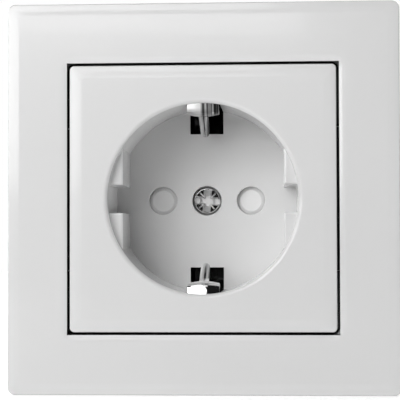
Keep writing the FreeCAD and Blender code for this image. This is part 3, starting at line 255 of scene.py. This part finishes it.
# Each look: name, colour, roughness, spread of the colour, scale of the grain or run of the lines, relief in metres
looks = {
    # frame_white and plate_white carry painted shade: the walls of their joint go dark
    "frame_white": plastic("frame_white", (0.73, 0.73, 0.73), 0.16, 0.008, 2600.0, 0.0000015, coat=0.3,
                           black=FRAME_JOINT_SHADE),
    "plate_white": plastic("plate_white", (0.725, 0.725, 0.725), 0.20, 0.008, 2600.0, 0.0000015, coat=0.2,
                           black=PLATE_JOINT_SHADE),
    "shutter_white": plastic("shutter_white", (0.80, 0.80, 0.80), 0.42, 0.01, 5200.0, 0.000006,
                             crowned=SHUTTER_CROWN),
    "retainer_grey": plastic("retainer_grey", (0.60, 0.60, 0.60), 0.48, 0.02, 4200.0, 0.00001),
    "base_grey": plastic("base_grey", (0.018, 0.018, 0.019), 0.50, 0.05, 4200.0, 0.000015),
    "cover_grey": plastic("cover_grey", (0.27, 0.28, 0.29), 0.50, 0.04, 4200.0, 0.000015),
    "lever_orange": plastic("lever_orange", (0.75, 0.24, 0.04), 0.40, 0.02, 4200.0, 0.00001),
    "screw_zinc": metal("screw_zinc", (0.74, 0.74, 0.74), 0.08, 0.12, (1.0, 1.0, 1.0), 0.000001),
    # earth_plated carries painted shade deep in the well and a painted reflection on the contacts' right side
    "earth_plated": metal("earth_plated", (0.94, 0.94, 0.94), 0.06, 0.08, (1.0, 0.15, 0.15), 0.0000008,
                          painted_shade_from=STRAP_PAINTED_SHADE_FROM),
    "ring_steel": metal("ring_steel", (0.60, 0.61, 0.62), 0.34, 0.15, (1.0, 1.0, 0.08), 0.000008),
    "claw_steel": metal("claw_steel", (0.58, 0.59, 0.60), 0.32, 0.18, (1.0, 0.1, 1.0), 0.000008),
    "spring_steel": metal("spring_steel", (0.64, 0.64, 0.66), 0.26, 0.10, (1.0, 0.2, 1.0), 0.000004),
    "contact_brass": metal("contact_brass", (0.78, 0.56, 0.24), 0.24, 0.12, (0.2, 1.0, 1.0), 0.000005),
    "rivet_brass": metal("rivet_brass", (0.76, 0.54, 0.24), 0.28, 0.12, (1.0, 1.0, 1.0), 0.000005),
}
for part in record["subparts"]:
    slots = nodes[part["node"]].data.materials
    slots.clear()
    slots.append(looks[part["material_slot"]])
slots = nodes["centre_screw"].data.materials
slots.clear()
slots.append(metal("screw_zinc_head", (0.74, 0.74, 0.74), 0.08, 0.12, (1.0, 1.0, 1.0), 0.000001,
                   matt_from=HEAD_MATT_FROM))


# Dark strips behind the joint: a black sheet where there is only shade, as painted shade, which also closes the view
# through the joint

STRIP_INNER = 27.0 * MM
STRIP_OUTER = 28.4 * MM
STRIP_FRONT = -4.3 * MM
STRIP_BACK = -3.9 * MM
STRIP_HALF = 14.9 * MM
STRIP_TAPER = 0.7 * MM

outline = [
    (STRIP_INNER, -STRIP_HALF + STRIP_TAPER), (STRIP_INNER + STRIP_TAPER, -STRIP_HALF),
    (STRIP_OUTER, -STRIP_HALF), (STRIP_OUTER, STRIP_HALF),
    (STRIP_INNER + STRIP_TAPER, STRIP_HALF), (STRIP_INNER, STRIP_HALF - STRIP_TAPER),
]
points = []
faces = []
for quarter in range(4):
    quarter_turn = Matrix.Rotation(quarter * math.pi / 2, 3, "Y")
    start = len(points)
    count = len(outline)
    for depth in (STRIP_FRONT, STRIP_BACK):
        points += [quarter_turn @ Vector((x, depth, z)) for x, z in outline]
    faces.append([start + i for i in range(count)])
    faces.append([start + count + i for i in reversed(range(count))])
    for i in range(count):
        j = (i + 1) % count
        faces.append([start + j, start + i, start + count + i, start + count + j])
mesh = bpy.data.meshes.new("joint_shade_strips")
mesh.from_pydata(points, [], faces)
strips = bpy.data.objects.new("joint_shade_strips", mesh)
collection.objects.link(strips)
mesh.materials.append(plastic("strip_black", (0.01, 0.01, 0.01), 0.7, 0.05, 4200.0, 0.000015))
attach(strips, "root")


# Floor, world and lamps

FLOOR_GAP = 0.05 * MM
FLOOR_HALF = 1.5
FLOOR_DARK = (0.61, 0.61, 0.61)
FLOOR_LIGHT = (0.63, 0.63, 0.63)
GLOW_NEAR = 0.56
GLOW_FAR = 0.85
GLOW_START = 0.15
GLOW_END = 0.80

lowest = cad_box[0]
floor_z = lowest[2] - FLOOR_GAP
corners = ((-1, -1), (1, -1), (1, 1), (-1, 1))
mesh = bpy.data.meshes.new("floor")
mesh.from_pydata([(x * FLOOR_HALF, y * FLOOR_HALF, floor_z) for x, y in corners], [], [(0, 1, 2, 3)])
floor = bpy.data.objects.new("floor", mesh)
collection.objects.link(floor)
shader = Shader("floor_white", 0.6)
shader.colour(shader.mix(shader.span(shader.noise(6.0), 0.0, 1.0), FLOOR_DARK, FLOOR_LIGHT))
path = shader.nodes.new("ShaderNodeLightPath")
distance = shader.nodes.new("ShaderNodeVectorMath")
distance.operation = "LENGTH"
shader.link(shader.place, distance.inputs[0])
glow = shader.span(distance.outputs["Value"], GLOW_NEAR, GLOW_FAR, GLOW_START, GLOW_END)
shader.surface.inputs["Emission Color"].default_value = (1.0, 1.0, 1.0, 1.0)
shader.link(shader.math("MULTIPLY", path.outputs["Is Camera Ray"], glow), shader.surface.inputs["Emission Strength"])
floor.data.materials.append(shader.material)
floor.visible_shadow = False

# The world is dark on the camera's side, so that mirroring metal stays dark, and pale behind the object
WORLD_DARK = 0.01
WORLD_PALE = 0.45
WORLD_RISE = 0.6

world = bpy.data.worlds.new("studio")
bpy.context.scene.world = world
world.use_nodes = True
tree = world.node_tree
background = tree.nodes["Background"]
path = tree.nodes.new("ShaderNodeLightPath")
direction = tree.nodes.new("ShaderNodeTexCoord")
split = tree.nodes.new("ShaderNodeSeparateXYZ")
tree.links.new(direction.outputs["Generated"], split.inputs["Vector"])
ramp = tree.nodes.new("ShaderNodeMapRange")
ramp.inputs["From Min"].default_value = 0.0
ramp.inputs["From Max"].default_value = WORLD_RISE
ramp.inputs["To Min"].default_value = WORLD_DARK
ramp.inputs["To Max"].default_value = WORLD_PALE
tree.links.new(split.outputs["Y"], ramp.inputs["Value"])
mix = tree.nodes.new("ShaderNodeMix")
mix.data_type = "FLOAT"
tree.links.new(path.outputs["Is Camera Ray"], mix.inputs["Factor"])
tree.links.new(ramp.outputs["Result"], mix.inputs[2])
mix.inputs[3].default_value = 1.0
background.inputs["Color"].default_value = (1.0, 1.0, 1.0, 1.0)
tree.links.new(mix.outputs[0], background.inputs["Strength"])


def soft_box(name, place, target, width, height, power):
    """A rectangular lamp at place that points to target, all in metres."""
    lamp = bpy.data.lights.new(name, "AREA")
    lamp.shape = "RECTANGLE"
    lamp.size = width
    lamp.size_y = height
    lamp.energy = power
    thing = bpy.data.objects.new(name, lamp)
    collection.objects.link(thing)
    thing.location = place
    aim = Vector(target) - Vector(place)
    thing.rotation_euler = aim.to_track_quat("-Z", "Y").to_euler()


# One wide soft source at the left, and a fill low at the right, built of tiles that face the socket. Each tile has
# its azimuth and elevation in degrees, and its watts.
LAMP_DISTANCE = 0.6
TILE = 0.2
tiles = (
    (-62, -15, 0.29), (-45, -15, 0.48), (-28, -15, 0.22), (-62, 12, 0.18), (-45, 12, 0.54), (-28, 12, 0.50),
    (-45, 32, 0.58), (-28, 32, 0.53), (-10, 35, 0.34), (-28, 52, 0.17), (-10, 54, 0.10), (60, 72, 0.06),
    (66, -30, 1.05),
)
for number, (azimuth, elevation, power) in enumerate(tiles):
    a, e = math.radians(azimuth), math.radians(elevation)
    place = Vector((math.sin(a) * math.cos(e), -math.cos(a) * math.cos(e), math.sin(e))) * LAMP_DISTANCE
    soft_box(f"tile_{number}", place, (0.0, -0.005, 0.0), TILE, TILE, power)
soft_box("glint", (-0.080, -0.575, 0.150), (0.0, 0.0, 0.0), 0.22, 0.07, 0.15)
soft_box("back_right", (0.30, 0.55, 0.40), (0.0, 0.02, 0.0), 0.4, 0.4, 1.8)
soft_box("back_left", (-0.40, 0.50, 0.15), (0.0, 0.02, 0.0), 0.4, 0.4, 1.7)


# Camera

FOCAL_PIXELS = 1501.9
PICTURE_PIXELS = 400
eye = Vector((17.48, -316.59, -9.72)) * MM
yaw, pitch, roll = (math.radians(a) for a in (3.354, 1.744, 0.168))
turn = Matrix.Rotation(yaw, 3, "Z") @ Matrix.Rotation(pitch, 3, "X") @ Matrix.Rotation(roll, 3, "Y")
level = Euler((math.radians(90), 0, 0)).to_matrix()
lens = bpy.data.cameras.new("camera")
camera = bpy.data.objects.new("camera", lens)
collection.objects.link(camera)
camera.matrix_world = Matrix.Translation(eye) @ (turn @ level).to_4x4()
lens.sensor_width = 36.0
lens.lens = FOCAL_PIXELS / PICTURE_PIXELS * lens.sensor_width
lens.clip_start = 0.01
lens.clip_end = 20.0
bpy.context.scene.camera = camera

bpy.context.scene.view_settings.view_transform = "Standard"
